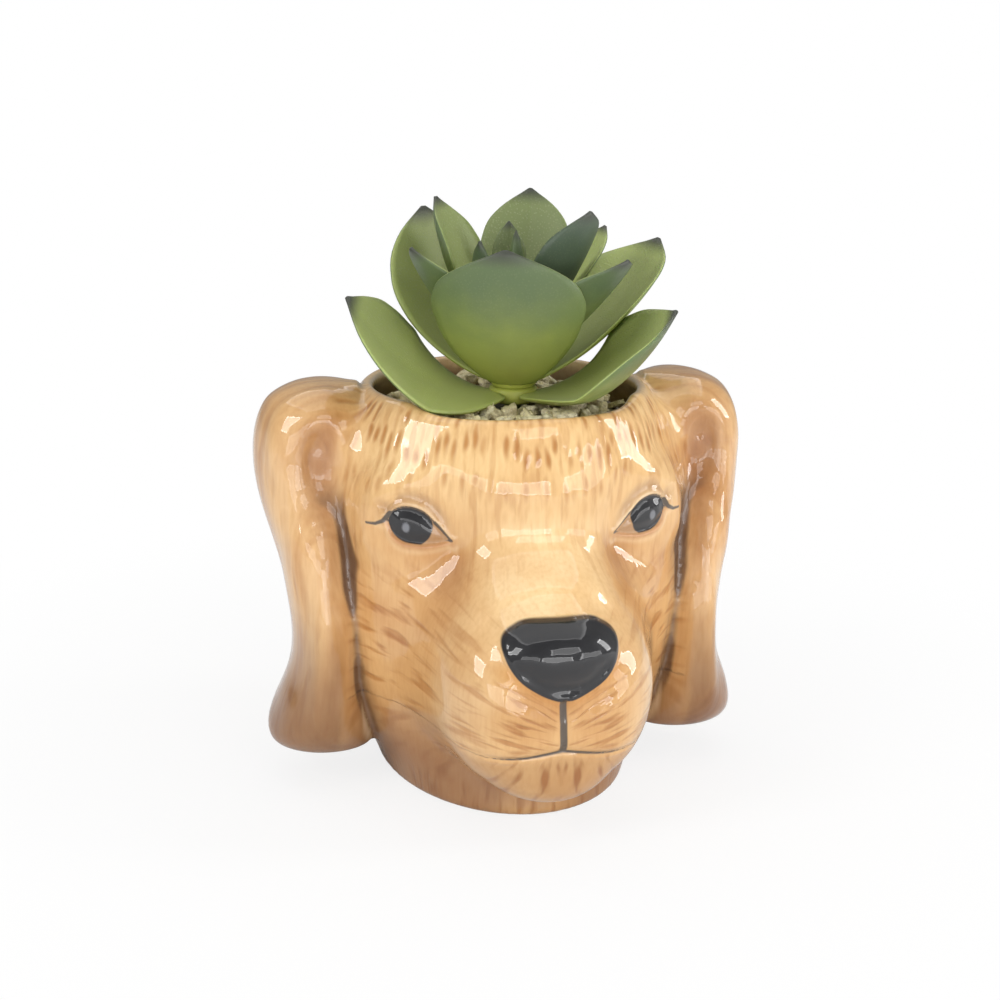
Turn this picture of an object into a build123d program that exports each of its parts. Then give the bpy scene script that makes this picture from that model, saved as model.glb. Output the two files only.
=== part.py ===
"""Dog-head planter: a slip-cast, glazed ceramic head with hanging ears, and the artificial
succulent that stands in it on a foam plug under loose bark.

Millimetres. The origin is the centre of the flat base, +Z is up and the face looks along -Y.
"""

from build123d import *

import math
import os

# Fired pot: a hollow head from the flat base to the round rim
pot_height = 94.5
wall = 4.0
floor_thickness = 5.5
rim_radius = 33.5
rim_round = 1.3
base_half_width = 29.5
base_front = 42.0
base_back = 34.0
base_round = 1.5
head_half_width = 43.8
head_front = 38.0
head_back = 40.5

# Muzzle, nose leather and eyeballs, set into the head
muzzle_reach = 60.8
muzzle_half_width = 28.0
muzzle_level = 33.0
muzzle_drop = 26.5
muzzle_rise = 34.5
nose_half_width = 14.0
nose_half_depth = 8.0
nose_half_height = 8.3
nose_reach = 61.8
nose_height = 44.4
eye_half_width = 7.6
eye_half_depth = 4.0
eye_half_height = 5.0
eye_out = 28.2
eye_forward = 26.8
eye_bulge = 1.5
eye_height = 67.6
eye_turn = 38.0

# Ears: flaps that hang from the temples and stop short of the table, hollowed below their fold
ear_reach = 60.0
ear_top = 96.0
ear_bottom = 7.8
ear_half_length = 18.0
ear_end_round = 1.8
hollow_half_width = 6.2
hollow_half_depth = 4.8
hollow_half_height = 11.5

# Foam plug and loose bark that hold the plant in the pot
plug_clearance = 0.6
topping_drop = 6.5
plug_edge_round = 2.0
bark_length = 4.8
bark_width = 3.2
bark_thickness = 4.6
bark_gap = 0.3

# Moulded stem with its wire core, standing a little to the right of the pot's axis
plant_offset = 2.0
stem_radius = 2.0
stem_depth = 34.0
stem_clearance = 0.08
wire_radius = 0.9
wire_prong = 14.0
wire_clearance = 0.05
wire_cover = 6.0

# Leaf whorls: moulded hubs threaded on the stem, each with its leaves, and the bud on top
hub_radius = 5.8
hub_top_radius = 3.6
hub_height = 3.6
hub_clearance = 0.08
hub_lift = 2.0
rosette_radius = 43.0
rosette_height = 48.0
leaf_half_width = 17.5
leaf_thickness = 2.0
leaf_edge = 0.7
bud_radius = 3.0
bud_height = 23.0
bud_seat = 3.0

overrun = 2.0

# Head sections between base and rim: height, half width, reach to the front and to the back,
# each as a share of its size above
head_section_shares = [
    (0.053, 0.720, 1.075, 0.870),
    (0.106, 0.776, 1.040, 0.900),
    (0.200, 0.876, 1.000, 0.940),
    (0.317, 0.955, 0.987, 0.975),
    (0.450, 1.000, 0.987, 1.000),
    (0.561, 0.995, 0.980, 1.000),
    (0.720, 0.980, 0.953, 0.975),
    (0.850, 0.940, 0.925, 0.925),
    (0.930, 0.880, 0.900, 0.880),
]

# Muzzle sections from inside the head to the tip: depth, half width, and reach below and above
# its level, each as a share of its size above
muzzle_section_shares = [
    (0.300, 1.07, 0.96, 1.24),
    (0.560, 1.00, 1.00, 1.00),
    (0.725, 0.91, 0.96, 0.80),
    (0.855, 0.80, 0.89, 0.64),
    (0.938, 0.64, 0.74, 0.53),
    (0.985, 0.37, 0.43, 0.32),
    (1.000, 0.13, 0.11, 0.12),
]
muzzle_hollow_count = 5

# Ear sections from the bottom up: height along the ear, outer edge as a share of the ear's reach,
# inner edge as a share of the head's half width, half length and setback as shares of the half length
ear_section_shares = [
    (0.000, 0.912, 0.776, 0.50, -0.22),
    (0.023, 0.965, 0.742, 0.70, -0.22),
    (0.063, 0.972, 0.753, 0.86, -0.22),
    (0.138, 0.935, 0.811, 0.94, -0.27),
    (0.322, 0.875, 0.868, 0.92, -0.33),
    (0.471, 0.900, 0.890, 0.94, -0.19),
    (0.621, 0.958, 0.879, 0.99, 0.04),
    (0.805, 1.000, 0.833, 1.00, 0.27),
    (0.908, 0.972, 0.799, 0.94, 0.25),
    (0.966, 0.917, 0.788, 0.72, 0.20),
    (1.000, 0.800, 0.833, 0.36, 0.20),
]

# Temple sections from inside the head to inside the ear: place as a share of the ear's reach,
# setback and half length as shares of the ear's half length, bottom and top as shares of its top
temple_section_shares = [
    (0.430, 0.15, 1.15, 0.583, 0.938),
    (0.570, 0.20, 1.15, 0.583, 0.969),
    (0.670, 0.22, 1.02, 0.594, 0.982),
    (0.790, 0.25, 0.78, 0.625, 0.990),
]

# Middle of the ear's hollow, as shares of the ear's reach, half length and top
hollow_out_share = 0.775
hollow_forward_share = 0.78
hollow_height_share = 0.828

# Leaf outline from the hub to the tip: place along the midrib, then half width, cup and
# thickness as shares of the leaf's own
leaf_station_shares = [
    (0.00, 0.32, 0.2, 1.00),
    (0.10, 0.50, 0.6, 1.00),
    (0.28, 0.76, 0.9, 1.00),
    (0.50, 0.95, 1.0, 1.00),
    (0.70, 1.00, 1.0, 0.90),
    (0.84, 0.81, 0.8, 0.75),
    (0.93, 0.46, 0.5, 0.60),
    (0.97, 0.22, 0.4, 0.50),
    (1.00, 0.04, 0.2, 0.45),
]
midrib_handle_share = 0.5
roll_start_share = 0.5

# Whorls from the bottom up: name, then for each leaf its heading, root lean and roll about its
# midrib in degrees, the radius and height of its tip as shares of the rosette, its share of the
# leaf half width and its cup as a share of its own half width
whorl_leaf_shares = [
    ("outer_whorl", [
        (193.0, -2.0, -30.0, 1.000, 0.575, 0.98, 0.15),
        (316.0, -4.0, 22.0, 0.985, 0.545, 0.94, 0.34),
        (76.0, 0.0, 0.0, 0.980, 0.545, 0.76, 0.40),
    ]),
    ("broad_whorl", [
        (251.0, 28.0, 0.0, 0.630, 0.835, 1.00, 0.26),
        (16.0, 19.0, 0.0, 0.945, 0.765, 0.88, 0.34),
        (126.0, 20.0, 0.0, 0.690, 0.910, 0.98, 0.14),
    ]),
    ("inner_whorl", [
        (194.0, 42.0, 0.0, 0.635, 0.795, 0.60, 0.26),
        (316.0, 40.0, 0.0, 0.690, 0.760, 0.80, 0.26),
        (69.0, 42.0, 0.0, 0.670, 0.985, 0.62, 0.30),
    ]),
    ("crown_whorl", [
        (150.0, 48.0, 0.0, 0.465, 0.995, 0.66, 0.34),
        (16.0, 46.0, 0.0, 0.580, 0.845, 0.42, 0.28),
        (254.0, 44.0, 0.0, 0.430, 0.770, 0.30, 0.16),
    ]),
    ("heart_whorl", [
        (312.0, 48.0, 0.0, 0.475, 0.980, 0.66, 0.24),
        (205.0, 48.0, 0.0, 0.250, 0.815, 0.24, 0.16),
        (85.0, 48.0, 0.0, 0.250, 0.865, 0.24, 0.16),
    ]),
]

# Places worked out from the sizes above
plug_top = pot_height - topping_drop
stem_bottom = plug_top - stem_depth
stack_bottom = plug_top + hub_lift
bud_bottom = stack_bottom + hub_height * len(whorl_leaf_shares)
stem_top = bud_bottom + bud_seat
plant_plane = Plane((plant_offset, 0, 0))

# Head sections in sizes, from base to rim: height, half width, reach to the front and the back
head_sections = [(0, base_half_width, base_front, base_back)]
for height_share, width_share, front_share, back_share in head_section_shares:
    head_sections.append((
        height_share * pot_height,
        width_share * head_half_width,
        front_share * head_front,
        back_share * head_back,
    ))
head_sections.append((pot_height, rim_radius, rim_radius, rim_radius))


def egg(half_width, near, far):
    """A closed outline: half an ellipse to one side of its widest line, half to the other."""
    with BuildSketch() as outline:
        with BuildLine():
            EllipticalCenterArc((0, 0), half_width, far, start_angle=0, arc_size=180)
            EllipticalCenterArc((0, 0), half_width, near, start_angle=180, arc_size=180)
        make_face()
    return outline.sketch


def muzzle(section_shares, inset):
    """The snout, from inside the head to its tip, less an inset on every side."""
    with BuildPart() as snout:
        for depth_share, width_share, drop_share, rise_share in section_shares:
            with BuildSketch(Plane.XZ.offset(depth_share * (muzzle_reach - inset))):
                with Locations((0, muzzle_level)):
                    add(egg(
                        width_share * muzzle_half_width - inset,
                        drop_share * muzzle_drop - inset,
                        rise_share * muzzle_rise - inset,
                    ))
        loft()
    return snout.part


def ellipsoid(half_width, half_depth, half_height):
    """A unit ball stretched to three half sizes."""
    with BuildPart() as ball:
        Sphere(1)
        scale(by=(half_width, half_depth, half_height))
    return ball.part


def leaf(heading, root_lean, roll, root_radius, root_height, tip_radius, tip_height, half_width, cup):
    """A cupped leaf whose midrib leaves the hub at root_lean and bends to the tip, rolled about it."""
    turn = math.radians(heading)
    outward = Vector(math.cos(turn), math.sin(turn), 0)
    across = Vector(-math.sin(turn), math.cos(turn), 0)
    upward = Vector(0, 0, 1)
    root = plant_plane.origin + outward * root_radius + upward * root_height
    tip = plant_plane.origin + outward * tip_radius + upward * tip_height
    reach = (tip - root).length * midrib_handle_share
    handle = root + (outward * math.cos(math.radians(root_lean))
                     + upward * math.sin(math.radians(root_lean))) * reach
    with BuildPart() as blade:
        for station, width_share, cup_share, thickness_share in leaf_station_shares:
            rest = 1 - station
            point = root * rest**2 + handle * (2 * rest * station) + tip * station**2
            along = (handle - root) * rest + (tip - handle) * station
            wide = half_width * width_share
            rise = wide * cup * cup_share
            thick = leaf_thickness * thickness_share / 2
            edge = leaf_edge * thickness_share / 2
            level_plane = Plane(origin=point, x_dir=across, z_dir=along)
            with BuildSketch(level_plane.rotated((0, 0, roll * min(1, station / roll_start_share)))):
                with BuildLine():
                    ThreePointArc((-wide, rise - edge), (0, -thick), (wide, rise - edge))
                    Line((wide, rise - edge), (wide, rise + edge))
                    ThreePointArc((wide, rise + edge), (0, thick), (-wide, rise + edge))
                    Line((-wide, rise + edge), (-wide, rise - edge))
                make_face()
        loft()
    return blade.part


os.makedirs("parts", exist_ok=True)

# Head: the outer form from base to rim, with both end edges rounded
with BuildPart() as head:
    for height, half_width, reach_front, reach_back in head_sections:
        with BuildSketch(Plane.XY.offset(height)):
            add(egg(half_width, reach_front, reach_back))
    loft()
    fillet(head.faces().sort_by(Axis.Z)[-1].edges(), rim_round)
    fillet(head.faces().sort_by(Axis.Z)[0].edges(), base_round)

# Cavity: the head less its wall, from the floor to past the open rim
cavity_sections = [(floor_thickness, *head_sections[0][1:])]
for section in head_sections:
    if section[0] > floor_thickness + wall:
        cavity_sections.append(section)
with BuildPart() as cavity:
    for height, half_width, reach_front, reach_back in cavity_sections:
        with BuildSketch(Plane.XY.offset(height)):
            add(egg(half_width - wall, reach_front - wall, reach_back - wall))
    loft()
    extrude(cavity.faces().sort_by(Axis.Z)[-1], amount=overrun)

# One ear, on the side of +X
with BuildPart() as ear:
    for height_share, outer_share, inner_share, length_share, setback_share in ear_section_shares:
        outer = ear_reach * outer_share
        inner = head_half_width * inner_share
        with BuildSketch(Plane.XY.offset(ear_bottom + (ear_top - ear_bottom) * height_share)):
            with Locations(((outer + inner) / 2, ear_half_length * setback_share)):
                Ellipse((outer - inner) / 2, ear_half_length * length_share)
    loft()
    fillet(ear.faces().sort_by(Axis.Z)[0].edges(), ear_end_round)

# Temple: the crown's shoulder that carries the ear, on the same side
with BuildPart() as temple:
    for place_share, setback_share, length_share, bottom_share, top_share in temple_section_shares:
        bottom = ear_top * bottom_share
        top = ear_top * top_share
        with BuildSketch(Plane.YZ.offset(ear_reach * place_share)):
            with Locations((ear_half_length * setback_share, (bottom + top) / 2)):
                Ellipse(ear_half_length * length_share, (top - bottom) / 2)
    loft()

# Ceramic pot: one fired casting of head, ears, muzzle, nose and eyes, hollowed to its wall
snout = muzzle(muzzle_section_shares, 0)
snout_hollow = muzzle(muzzle_section_shares[:muzzle_hollow_count], wall)
nose = ellipsoid(nose_half_width, nose_half_depth, nose_half_height)
eye = ellipsoid(eye_half_width, eye_half_depth, eye_half_height)
hollow = ellipsoid(hollow_half_width, hollow_half_depth, hollow_half_height)
hollow_x = ear_reach * hollow_out_share
hollow_y = -ear_half_length * hollow_forward_share
hollow_z = ear_top * hollow_height_share
eye_inset = eye_half_depth - eye_bulge
eye_x = eye_out - eye_inset * math.sin(math.radians(eye_turn))
eye_y = -eye_forward + eye_inset * math.cos(math.radians(eye_turn))
with BuildPart() as ceramic_pot:
    add(head.part)
    for flap in (ear.part, temple.part):
        add(flap)
        mirror(flap, about=Plane.YZ)
    add(snout)
    with Locations((0, nose_half_depth - nose_reach, nose_height)):
        add(nose)
    for side in (-1, 1):
        with Locations((side * eye_x, eye_y, eye_height)):
            add(eye, rotation=(0, 0, side * eye_turn))
        with Locations((side * hollow_x, hollow_y, hollow_z)):
            add(hollow, mode=Mode.SUBTRACT)
    add(cavity.part, mode=Mode.SUBTRACT)
    add(snout_hollow, mode=Mode.SUBTRACT)
    rim_face = ceramic_pot.faces().filter_by(Plane.XY).filter_by(lambda face: face.inner_wires())[0]
    fillet(rim_face.inner_wires()[0].edges(), rim_round)
ceramic_pot.part.label = "ceramic_pot"
export_step(ceramic_pot.part, "parts/ceramic_pot.step")

# Foam plug: stands on the pot's floor, widens to the mouth and grips the stem and its wire prong
plug_foot_radius = min(cavity_sections[0][1:]) - wall - plug_clearance
plug_radius = rim_radius - wall - plug_clearance
with BuildPart() as foam_plug:
    for height, radius in ((floor_thickness, plug_foot_radius), (plug_top, plug_radius)):
        with BuildSketch(Plane.XY.offset(height)):
            Circle(radius)
    loft()
    fillet(foam_plug.edges().filter_by(GeomType.CIRCLE), plug_edge_round)
    with BuildSketch(plant_plane.offset(stem_bottom)):
        Circle(stem_radius + stem_clearance)
    extrude(amount=stem_depth + overrun, mode=Mode.SUBTRACT)
    with BuildSketch(plant_plane.offset(stem_bottom - wire_prong)):
        Circle(wire_radius + wire_clearance)
    extrude(amount=wire_prong + overrun, mode=Mode.SUBTRACT)
foam_plug.part.label = "foam_plug"
export_step(foam_plug.part, "parts/foam_plug.step")

# Stem: a moulded stalk through every hub, bored for its wire
with BuildPart() as stem:
    with BuildSketch(plant_plane.offset(stem_bottom)):
        Circle(stem_radius)
    extrude(amount=stem_top - stem_bottom)
    with BuildSketch(plant_plane.offset(stem_bottom - overrun)):
        Circle(wire_radius + wire_clearance)
    extrude(amount=stem_top - stem_bottom - wire_cover + overrun, mode=Mode.SUBTRACT)
stem.part.label = "stem"
export_step(stem.part, "parts/stem.step")

# Wire core: runs up the stem and stands out below it as the prong
with BuildPart() as stem_wire:
    with BuildSketch(plant_plane.offset(stem_bottom - wire_prong)):
        Circle(wire_radius)
    extrude(amount=stem_top - stem_bottom + wire_prong - wire_cover)
stem_wire.part.label = "stem_wire"
export_step(stem_wire.part, "parts/stem_wire.step")

# Whorls: each a hub threaded on the stem with its leaves moulded to it
for level, (name, leaves) in enumerate(whorl_leaf_shares):
    hub_bottom = stack_bottom + hub_height * level
    level_share = level / (len(whorl_leaf_shares) - 1)
    level_radius = hub_radius + (hub_top_radius - hub_radius) * level_share
    blades = []
    for heading, root_lean, roll, radius_share, height_share, width_share, cup_share in leaves:
        blades.append(leaf(
            heading,
            root_lean,
            roll,
            level_radius - leaf_thickness / 2,
            hub_bottom + hub_height / 2,
            rosette_radius * radius_share,
            stack_bottom + rosette_height * height_share,
            leaf_half_width * width_share,
            cup_share,
        ))
    with BuildPart() as whorl:
        with BuildSketch(plant_plane.offset(hub_bottom)):
            Circle(level_radius)
        extrude(amount=hub_height)
        for blade in blades:
            add(blade)
        with BuildSketch(plant_plane.offset(hub_bottom - overrun)):
            Circle(stem_radius + hub_clearance)
        extrude(amount=hub_height + 2 * overrun, mode=Mode.SUBTRACT)
    whorl.part.label = name
    export_step(whorl.part, f"parts/{name}.step")

# Bud: the closed heart of the rosette, a pointed cap on the stem's end
with BuildPart() as bud:
    with BuildSketch(Plane((plant_offset, 0, bud_bottom), x_dir=(1, 0, 0), z_dir=(0, -1, 0))):
        with BuildLine():
            Line((0, 0), (bud_radius, 0))
            Line((bud_radius, 0), (bud_radius, bud_seat))
            Spline((bud_radius, bud_seat), (0, bud_height), tangents=[(0, 1), (-1, 3)])
            Line((0, bud_height), (0, 0))
        make_face()
    revolve(axis=Axis((plant_offset, 0, 0), (0, 0, 1)))
    with BuildSketch(plant_plane.offset(bud_bottom)):
        Circle(stem_radius + hub_clearance)
    extrude(amount=bud_seat, mode=Mode.SUBTRACT)
bud.part.label = "bud"
export_step(bud.part, "parts/bud.step")

# Bark topping: loose chips on the plug, spread by the golden angle and heaped towards the wall
golden_angle = math.pi * (3 - math.sqrt(5))
bark_pitch = math.hypot(bark_length, bark_width) + bark_gap
bark_spread = bark_pitch / math.sqrt(math.pi)
bark_outer = plug_radius - plug_edge_round - plant_offset - bark_length / 2
bark_inner = hub_radius + bark_length / 2
bark_count = math.ceil((bark_outer / bark_spread) ** 2)
bark_height_shares = [1.0, 0.7, 0.85]
bark_width_shares = [1.0, 0.75, 0.9, 0.65]
bark_heap_share = 0.5
bark_taper_share = 0.72
with BuildPart() as bark_topping:
    for index in range(bark_count):
        radius = bark_spread * math.sqrt(index)
        if not bark_inner <= radius <= bark_outer:
            continue
        turn = index * golden_angle
        place = plant_plane.origin + Vector(radius * math.cos(turn), radius * math.sin(turn), plug_top)
        chip_plane = Plane(place, x_dir=(math.cos(turn * 3), math.sin(turn * 3), 0))
        width = bark_width * bark_width_shares[index % len(bark_width_shares)]
        heap = bark_heap_share + (1 - bark_heap_share) * (radius / bark_outer) ** 2
        height = bark_thickness * heap * bark_height_shares[index % len(bark_height_shares)]
        with BuildSketch(chip_plane):
            Rectangle(bark_length, width)
        with BuildSketch(chip_plane.offset(height)):
            Rectangle(bark_length * bark_taper_share, width * bark_taper_share)
        loft(ruled=True)
bark_topping.part.label = "bark_topping"
export_step(bark_topping.part, "parts/bark_topping.step")
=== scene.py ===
"""Looks of the dog-head planter: glazed and painted head, moulded succulent, bark and foam.

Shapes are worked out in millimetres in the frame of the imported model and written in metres.
"""

import math

import bmesh
import bpy
import numpy as np
from mathutils import Matrix, Vector


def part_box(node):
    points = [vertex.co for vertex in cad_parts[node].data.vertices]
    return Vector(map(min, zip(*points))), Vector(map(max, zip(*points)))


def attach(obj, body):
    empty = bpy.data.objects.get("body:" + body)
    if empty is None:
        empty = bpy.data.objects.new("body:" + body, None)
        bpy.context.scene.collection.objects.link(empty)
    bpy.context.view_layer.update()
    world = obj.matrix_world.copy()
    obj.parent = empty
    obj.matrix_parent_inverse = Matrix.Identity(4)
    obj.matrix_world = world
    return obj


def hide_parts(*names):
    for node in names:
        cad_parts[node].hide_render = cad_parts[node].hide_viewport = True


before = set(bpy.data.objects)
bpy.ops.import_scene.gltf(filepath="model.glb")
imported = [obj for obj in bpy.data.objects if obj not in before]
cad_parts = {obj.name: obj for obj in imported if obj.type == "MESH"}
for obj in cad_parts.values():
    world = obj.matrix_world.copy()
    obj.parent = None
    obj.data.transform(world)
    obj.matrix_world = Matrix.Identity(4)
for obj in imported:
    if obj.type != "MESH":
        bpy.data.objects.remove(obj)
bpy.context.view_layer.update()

MM = 0.001

# Photograph's camera: place, turn and focal length over the sensor's width
camera_yaw = math.radians(-13.96)
camera_pitch = math.radians(15.90)
camera_roll = math.radians(1.072)
camera_distance = 482.27
camera_aim = (-0.658, 64.98)
sensor_width = 36.0
focal_length = 71.16

# Head mesh: even voxels over the whole casting, halved over the face
head_voxel = 0.8
face_half_width = 41.0
face_depth = 17.0
face_bottom = 4.0
face_top = 79.0

# Eyes: middle, turn from straight ahead, tilt of the line between their corners, and the flatter,
# slightly domed facet that each lies on, with how far the skull may sink or rise to it
eye_out = 28.2
eye_forward = 26.8
eye_height = 67.6
eye_turn = math.radians(23.0)
eye_tilt = math.radians(15.8)
eye_mid = (-1.85, -0.75)
eye_facet = (10.0, 8.0)
eye_facet_limit = (-2.0, 3.0)
eye_dome = 0.9
eye_dome_fall = 0.011

# Lid edges, as places along the tilted line and heights over it
upper_lid = [(-7.5, 0.0), (-5.5, 1.4), (-3.1, 3.0), (0.0, 4.6), (2.2, 4.8), (4.2, 4.4), (5.9, 3.4),
             (7.0, 2.0), (7.5, 0.0)]
lower_lid = [(-7.5, 0.0), (-6.0, -1.0), (-4.2, -2.0), (-2.4, -2.8), (0.0, -3.45), (2.4, -3.7), (4.4, -3.2),
             (6.0, -2.1), (7.5, 0.0)]

# Painted lash lines, as places out from the eye's middle and heights over it
outer_lash = [(4.8, 3.0), (6.4, 1.1), (8.3, 0.2), (10.6, 0.2)]
inner_lash = [(-5.7, 1.4), (-7.2, -0.2), (-8.6, -1.9), (-9.6, -3.0)]

# Iris: middle and half sizes, and the grey dot in it
iris_mid = (0.1, 0.4)
iris_size = (5.3, 5.1)
pupil_mid = (0.9, 0.0)
pupil_size = (0.9, 1.2)

# Nose leather: its middle, and its outline as degrees from straight up and distances, carried on
# past straight up and straight down so that it runs level there
nose_height = 45.0
nose_outline = [(-54, 11.8), (0, 8.2), (27, 9.1), (54, 11.8), (75, 13.7), (90, 12.8), (103, 11.7),
                (131, 9.7), (160, 9.1), (180, 9.1), (200, 9.1)]
nose_front = 44.0

# Mouth line, as distances from the middle and heights
mouth_line = [(0.0, 23.8), (4.6, 23.1), (9.5, 22.4), (15.0, 22.0), (20.0, 22.6), (30.0, 24.0)]
mouth_half_width = 15.5
mouth_line_width = 0.36
mouth_height = 24.0
mouth_reach = 60.0
groove_half_width = 0.85
groove_lean = -0.04

# Fur strokes: middles of their fans over the lips and down the chin, and the radius they hang at
lip_fan = (18.0, 20.0)
chin_fan = 44.0
hang_radius = 37.0

# Ears: where the flaps begin beside the head, and the hollow under each folded top
ear_start = (40.5, 44.5)
hollow_out = 46.8
hollow_height = 79.5
hollow_size = (6.8, 11.5)

# Soft spots on the face: distance from the midline, height, half width and half height
forehead_spot = (0.0, 76.0, 21.0, 8.0)
stop_spot = (0.0, 65.0, 8.0, 5.0)
bridge_side_spot = (20.5, 56.0, 5.0, 8.0)
cheek_spot = (31.0, 52.0, 9.0, 10.0)
above_nose_spot = (0.0, 55.0, 15.0, 3.5)
nostril_spot = (8.6, 43.0, 2.8, 1.9)
lip_spot = (11.0, 31.0, 7.0, 6.0)
chin_spot = (0.0, 12.0, 14.0, 5.0)
bridge_paint_spot = (1.0, 61.0, 12.0, 15.0)
bridge_edge_spot = (16.0, 52.0, 4.5, 9.0)
bridge_shade_spot = (21.0, 56.0, 3.4, 6.0)
muzzle_side_spot = (22.0, 34.0, 7.0, 12.0)
cheek_paint_spot = (30.0, 50.0, 9.0, 12.0)
left_lip_spot = (-10.0, 32.0, 9.0, 7.0)
right_lip_spot = (10.0, 32.0, 9.0, 7.0)
bare_bridge_spot = (1.0, 57.0, 11.0, 12.0)
lip_stroke_spot = (12.0, 31.0, 10.0, 8.0)
cheek_stroke_spot = (33.0, 42.0, 9.0, 18.0)

# Soft spots beside each eye: outward and upward from its middle, half width and half height
eye_melt_spot = (-0.5, 0.0, 9.5, 7.5)
socket_spot = (-0.5, 0.0, 12.0, 8.5)
brow_spot = (0.5, 10.5, 10.0, 4.5)
inner_corner_spot = (-10.8, -5.0, 3.3, 3.2)
corner_shade_spot = (-10.5, -7.5, 3.4, 4.2)
under_eye_spot = (-7.0, -6.3, 5.5, 2.6)
eye_stroke_spot = (1.0, 0.0, 13.0, 7.0)
eye_drop_spot = (0.0, 1.0, 13.0, 8.5)

# Paints
tan = (0.70, 0.435, 0.195)
cream = (0.82, 0.565, 0.27)
pale_cream = (0.88, 0.645, 0.345)
muzzle_tan = (0.74, 0.53, 0.30)
cheek_tan = (0.66, 0.385, 0.165)
ear_cream = (0.80, 0.53, 0.275)
chin_tan = (0.50, 0.29, 0.12)
amber = (0.60, 0.33, 0.12)
deep_amber = (0.54, 0.275, 0.08)
orange = (0.58, 0.28, 0.075)
bridge_brown = (0.50, 0.26, 0.105)
lid_brown = (0.46, 0.285, 0.15)
rust = (0.38, 0.165, 0.06)
brown = (0.30, 0.148, 0.064)
ear_brown = (0.25, 0.118, 0.045)
crease_shade_umber = (0.17, 0.093, 0.05)
lower_lid_brown = (0.50, 0.25, 0.11)
lower_lid_pale = (0.84, 0.64, 0.40)
upper_lid_pale = (0.84, 0.66, 0.43)
eye_corner_tan = (0.46, 0.27, 0.13)
bisque = (0.72, 0.55, 0.35)

# Plant: axis, hubs and rosette, as on the solids
plant_offset = 2.0
plug_top = 88.0
stack_bottom = 90.0
hub_radius = 5.8
hub_top_radius = 3.6
hub_height = 3.6
hub_bore = 2.08
hub_round = 0.5
rosette_radius = 43.0
rosette_height = 48.0
leaf_half_width = 17.5
leaf_thickness = 2.0
leaf_edge = 0.7
midrib_handle_share = 0.5
roll_start_share = 0.5
leaf_rows = 36
leaf_columns = 17
margin_wave = 0.35
crease_depth = 0.28
seam_depth = 0.16

# Leaf outline from hub to tip: place along the midrib, then shares of half width, cup and thickness
leaf_station_shares = [
    (0.00, 0.32, 0.2, 1.00),
    (0.10, 0.50, 0.6, 1.00),
    (0.28, 0.76, 0.9, 1.00),
    (0.50, 0.95, 1.0, 1.00),
    (0.70, 1.00, 1.0, 0.90),
    (0.84, 0.81, 0.8, 0.75),
    (0.93, 0.46, 0.5, 0.60),
    (0.97, 0.22, 0.4, 0.50),
    (1.00, 0.04, 0.2, 0.45),
]

# Leaves of each whorl: heading, root lean and roll about the midrib in degrees, shares of tip
# radius and tip height, share of half width, and cup
whorl_leaf_shares = [
    ("outer_whorl", [
        (193.0, -2.0, -30.0, 1.000, 0.575, 0.98, 0.15),
        (316.0, -4.0, 22.0, 0.985, 0.545, 0.94, 0.34),
        (76.0, 0.0, 0.0, 0.980, 0.545, 0.76, 0.40),
    ]),
    ("broad_whorl", [
        (251.0, 28.0, 0.0, 0.630, 0.835, 1.00, 0.26),
        (16.0, 19.0, 0.0, 0.945, 0.765, 0.88, 0.34),
        (126.0, 20.0, 0.0, 0.690, 0.910, 0.98, 0.14),
    ]),
    ("inner_whorl", [
        (194.0, 42.0, 0.0, 0.635, 0.795, 0.60, 0.26),
        (316.0, 40.0, 0.0, 0.690, 0.760, 0.80, 0.26),
        (69.0, 42.0, 0.0, 0.670, 0.985, 0.62, 0.30),
    ]),
    ("crown_whorl", [
        (150.0, 48.0, 0.0, 0.465, 0.995, 0.66, 0.34),
        (16.0, 46.0, 0.0, 0.580, 0.845, 0.42, 0.28),
        (254.0, 44.0, 0.0, 0.430, 0.770, 0.30, 0.16),
    ]),
    ("heart_whorl", [
        (312.0, 48.0, 0.0, 0.475, 0.980, 0.66, 0.24),
        (205.0, 48.0, 0.0, 0.250, 0.815, 0.24, 0.16),
        (85.0, 48.0, 0.0, 0.250, 0.865, 0.24, 0.16),
    ]),
]

# Darkness of each leaf of each whorl: painted shade, deepest on the heart leaves
whorl_leaf_shade = [(0.0, 0.05, 0.20), (0.20, 0.0, 0.05), (0.22, 0.45, 0.50), (0.30, 0.10, 0.60),
               (0.95, 0.60, 0.60)]

# Bud: radius and height of its section, up the outside and back down the bore
bud_height = 23
bud_profile = [(hub_bore, 0), (2.9, 0), (3.0, 3), (2.95, 7), (2.6, 12), (1.9, 17), (0.95, 21),
               (0.05, bud_height), (0.02, 5), (hub_bore, 3)]

# Bark crumbs heaped on the plug, from the hub out to the wall
crumb_count = 230
crumb_length = (2.6, 6.2)
crumb_width_share = (0.35, 0.62)
crumb_inner = 7.4
crumb_outer = 27.2
crumb_heap = (1.4, 3.6)
crumb_seed = 7

# Stage in metres: floor, and how its own glow for the camera grows away from the planter
floor_half_width = 4.0
floor_drop = 0.0002
glow_reach = (0.06, 0.22)
glow_share = (0.82, 1.0)
room_light = 0.30

# Soft boxes: place, aim and size in millimetres, and power
lamps = [
    ("front_window", (170, -680, 420), (0, -20, 60), (420, 280), 1.0),
    ("low_left", (-380, -590, 120), (0, -20, 75), (360, 170), 0.5),
    ("low_middle", (40, -700, 105), (0, -20, 75), (420, 170), 1.0),
    ("low_right", (480, -510, 120), (0, -20, 75), (360, 170), 0.6),
    ("left_box", (-620, -260, 420), (0, -10, 60), (260, 320), 1.9),
    ("right_strip", (640, -160, 300), (0, 0, 60), (160, 380), 1.6),
    ("top_box", (0, 160, 760), (0, 0, 60), (1000, 1000), 3.4),
]


# Curves and masks

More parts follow.
